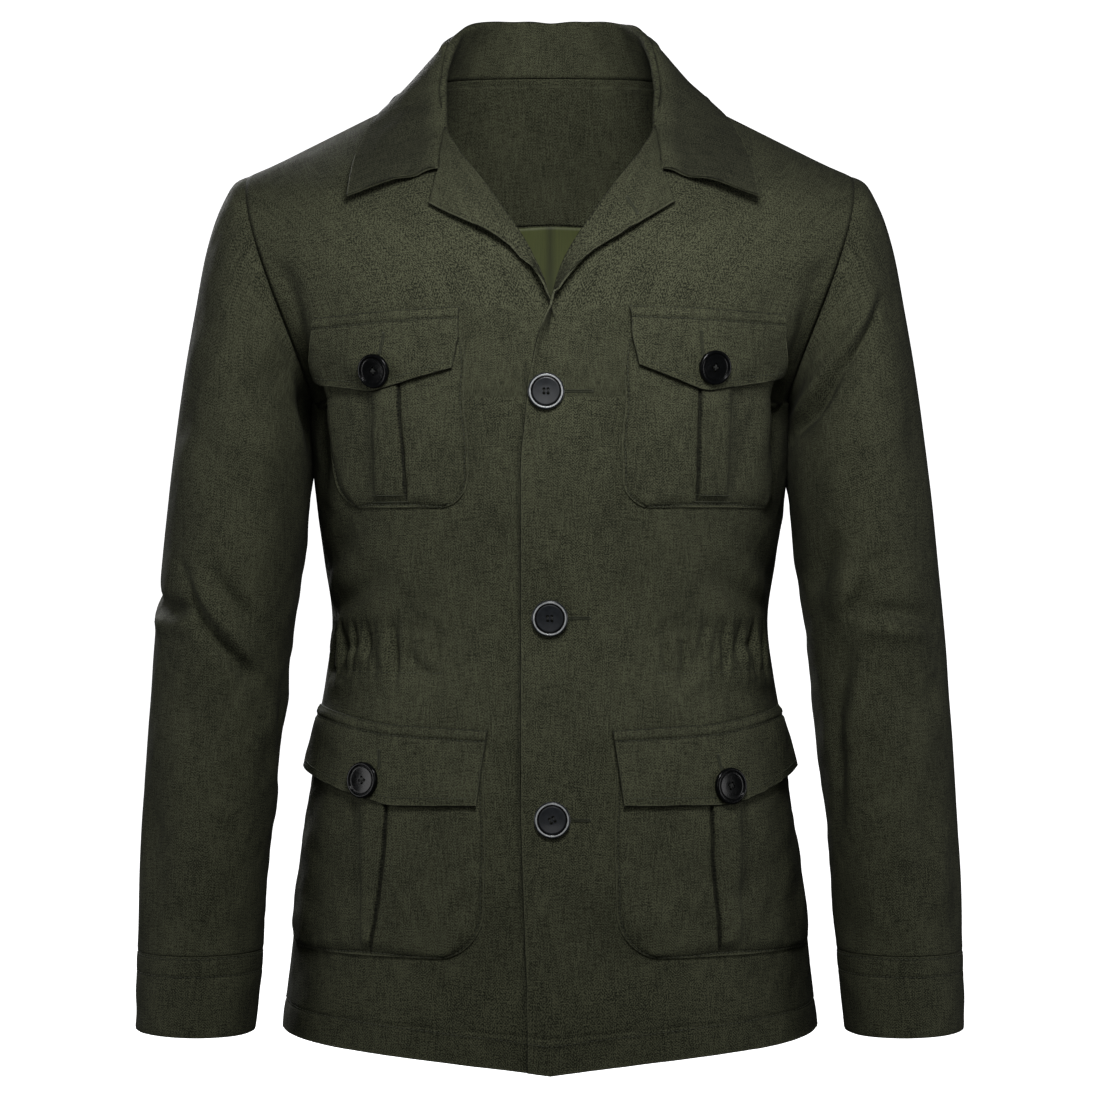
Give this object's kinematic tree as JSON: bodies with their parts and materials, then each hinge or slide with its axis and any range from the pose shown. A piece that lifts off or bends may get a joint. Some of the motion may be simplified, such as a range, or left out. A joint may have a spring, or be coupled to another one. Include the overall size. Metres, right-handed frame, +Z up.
{
  "type": "safari jacket",
  "caption": "Men's long-sleeved safari jacket in olive cloth, buttoned and filled out with no wearer, with notched collar, patch pockets under buttoned flaps, gathered waist and cuffs",
  "frame": {"origin": "the middle of the neck opening on the level of the shoulders' tops, where the wearer's shoulders and neck hold the jacket up", "axes": "+Z up, the jacket's front faces -Y, the wearer's left is +X"},
  "size_m": [0.6074, 0.2741, 0.7809],
  "materials": {
    "body_cloth": "dark olive linen-look twill, matt",
    "sleeve_cloth": "the same olive twill, in the sleeves' deeper shade",
    "lining": "plain lighter olive lining, smooth",
    "button": "near-black, polished"
  },
  "bodies": {
    "root": {"back": "body_cloth", "front_left": "body_cloth", "front_right": "body_cloth", "collar": "body_cloth", "chest_pocket_left": "body_cloth", "chest_pocket_right": "body_cloth", "chest_flap_left": "body_cloth", "chest_flap_right": "body_cloth", "hip_pocket_left": "body_cloth", "hip_pocket_right": "body_cloth", "hip_flap_left": "body_cloth", "hip_flap_right": "body_cloth", "back_neck_facing": "body_cloth", "sleeve_left": "sleeve_cloth", "sleeve_right": "sleeve_cloth", "cuff_left": "sleeve_cloth", "cuff_right": "sleeve_cloth", "button_front_1": "button", "button_front_2": "button", "button_front_3": "button", "button_chest_left": "button", "button_chest_right": "button", "button_hip_left": "button", "button_hip_right": "button", "back_lining": "lining"}
  },
  "joints": []
}
